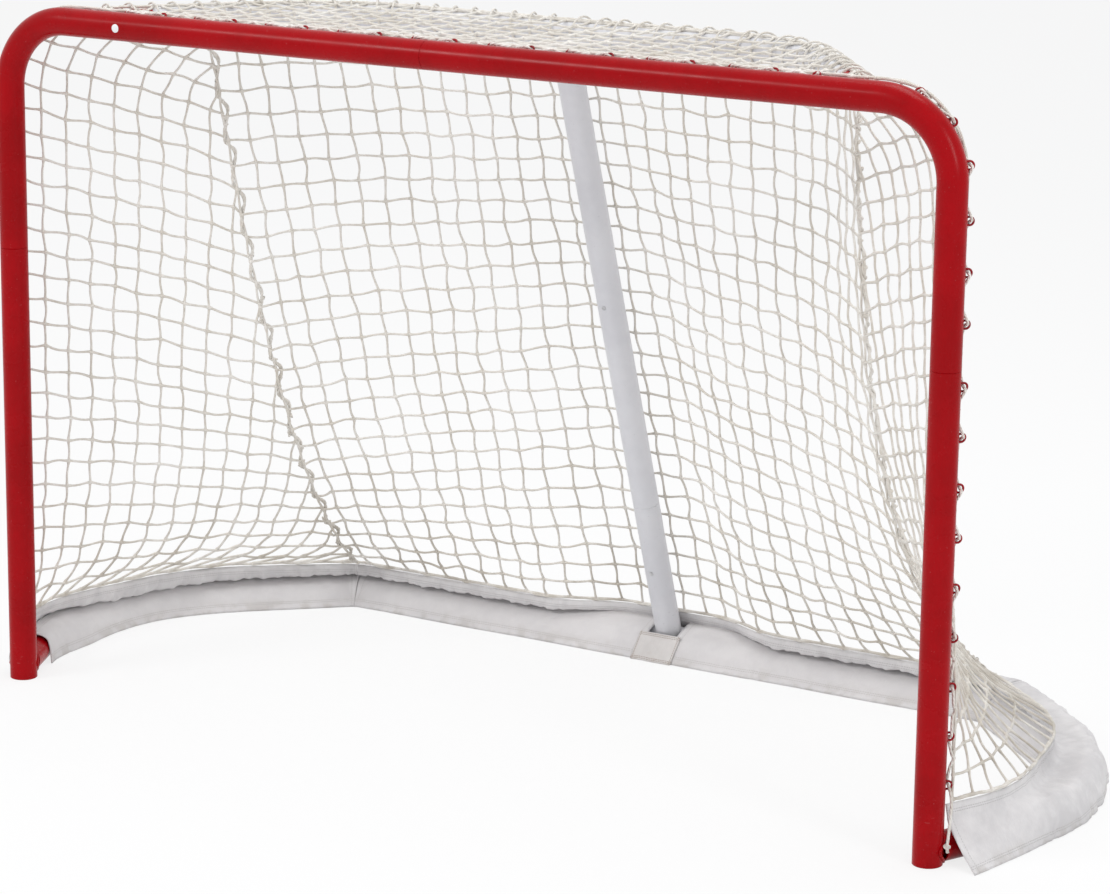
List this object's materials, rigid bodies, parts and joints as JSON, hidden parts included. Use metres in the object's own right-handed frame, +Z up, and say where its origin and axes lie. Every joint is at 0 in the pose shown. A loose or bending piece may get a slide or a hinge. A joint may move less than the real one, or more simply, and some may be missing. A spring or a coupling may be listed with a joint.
{
  "type": "hockey goal",
  "caption": "Tubular steel hockey goal frame with a laced twine net, a shelf bow, a sloping centre support and a canvas skirt round its base.",
  "frame": {"origin": "on the ice under the middle of the whole goal, halfway between the mouth side and the back", "axes": "+X along the crossbar, +Y from the mouth towards the back, +Z up from the ice"},
  "size_m": [2.1566, 0.8959, 1.2771],
  "materials": {
    "frame_red": "gloss powder coat, light wear",
    "tube_white": "satin gloss powder coat",
    "foot_black": "matte",
    "fastener_steel": "zinc plated",
    "plug_white": "smooth gloss",
    "net_twine": "braided twine, matte",
    "lacing_rope": "laid rope, matte",
    "skirt_canvas": "coated canvas, slight sheen"
  },
  "bodies": {
    "root": {"left_corner_tube": "frame_red", "right_corner_tube": "frame_red", "left_lower_post": "frame_red", "right_lower_post": "frame_red", "left_foot_plug": "foot_black", "right_foot_plug": "foot_black", "frame_screws": "fastener_steel", "crossbar_plug": "plug_white", "left_corner_hooks": "frame_red", "right_corner_hooks": "frame_red", "left_post_hooks": "frame_red", "right_post_hooks": "frame_red", "left_shelf_stub": "frame_red", "right_shelf_stub": "frame_red", "left_shelf_tube": "tube_white", "right_shelf_tube": "tube_white", "shelf_tee": "tube_white", "shelf_screws": "fastener_steel", "upper_support": "tube_white", "lower_support": "tube_white", "support_rivets": "fastener_steel", "support_socket": "tube_white", "left_base_stub": "frame_red", "right_base_stub": "frame_red", "left_base_tube": "tube_white", "right_base_tube": "tube_white", "rear_base_tube": "tube_white", "base_screws": "fastener_steel", "top_net": "net_twine", "back_net": "net_twine", "left_side_net": "net_twine", "right_side_net": "net_twine", "left_seam_cord": "lacing_rope", "right_seam_cord": "lacing_rope", "crossbar_lacing": "lacing_rope", "left_post_lacing": "lacing_rope", "right_post_lacing": "lacing_rope", "lacing_tail": "lacing_rope", "tail_knot": "lacing_rope", "shelf_net_ties": "lacing_rope", "base_net_ties": "lacing_rope", "left_side_skirt": "skirt_canvas", "right_side_skirt": "skirt_canvas", "left_rear_skirt": "skirt_canvas", "right_rear_skirt": "skirt_canvas", "skirt_patch": "skirt_canvas"}
  },
  "joints": []
}
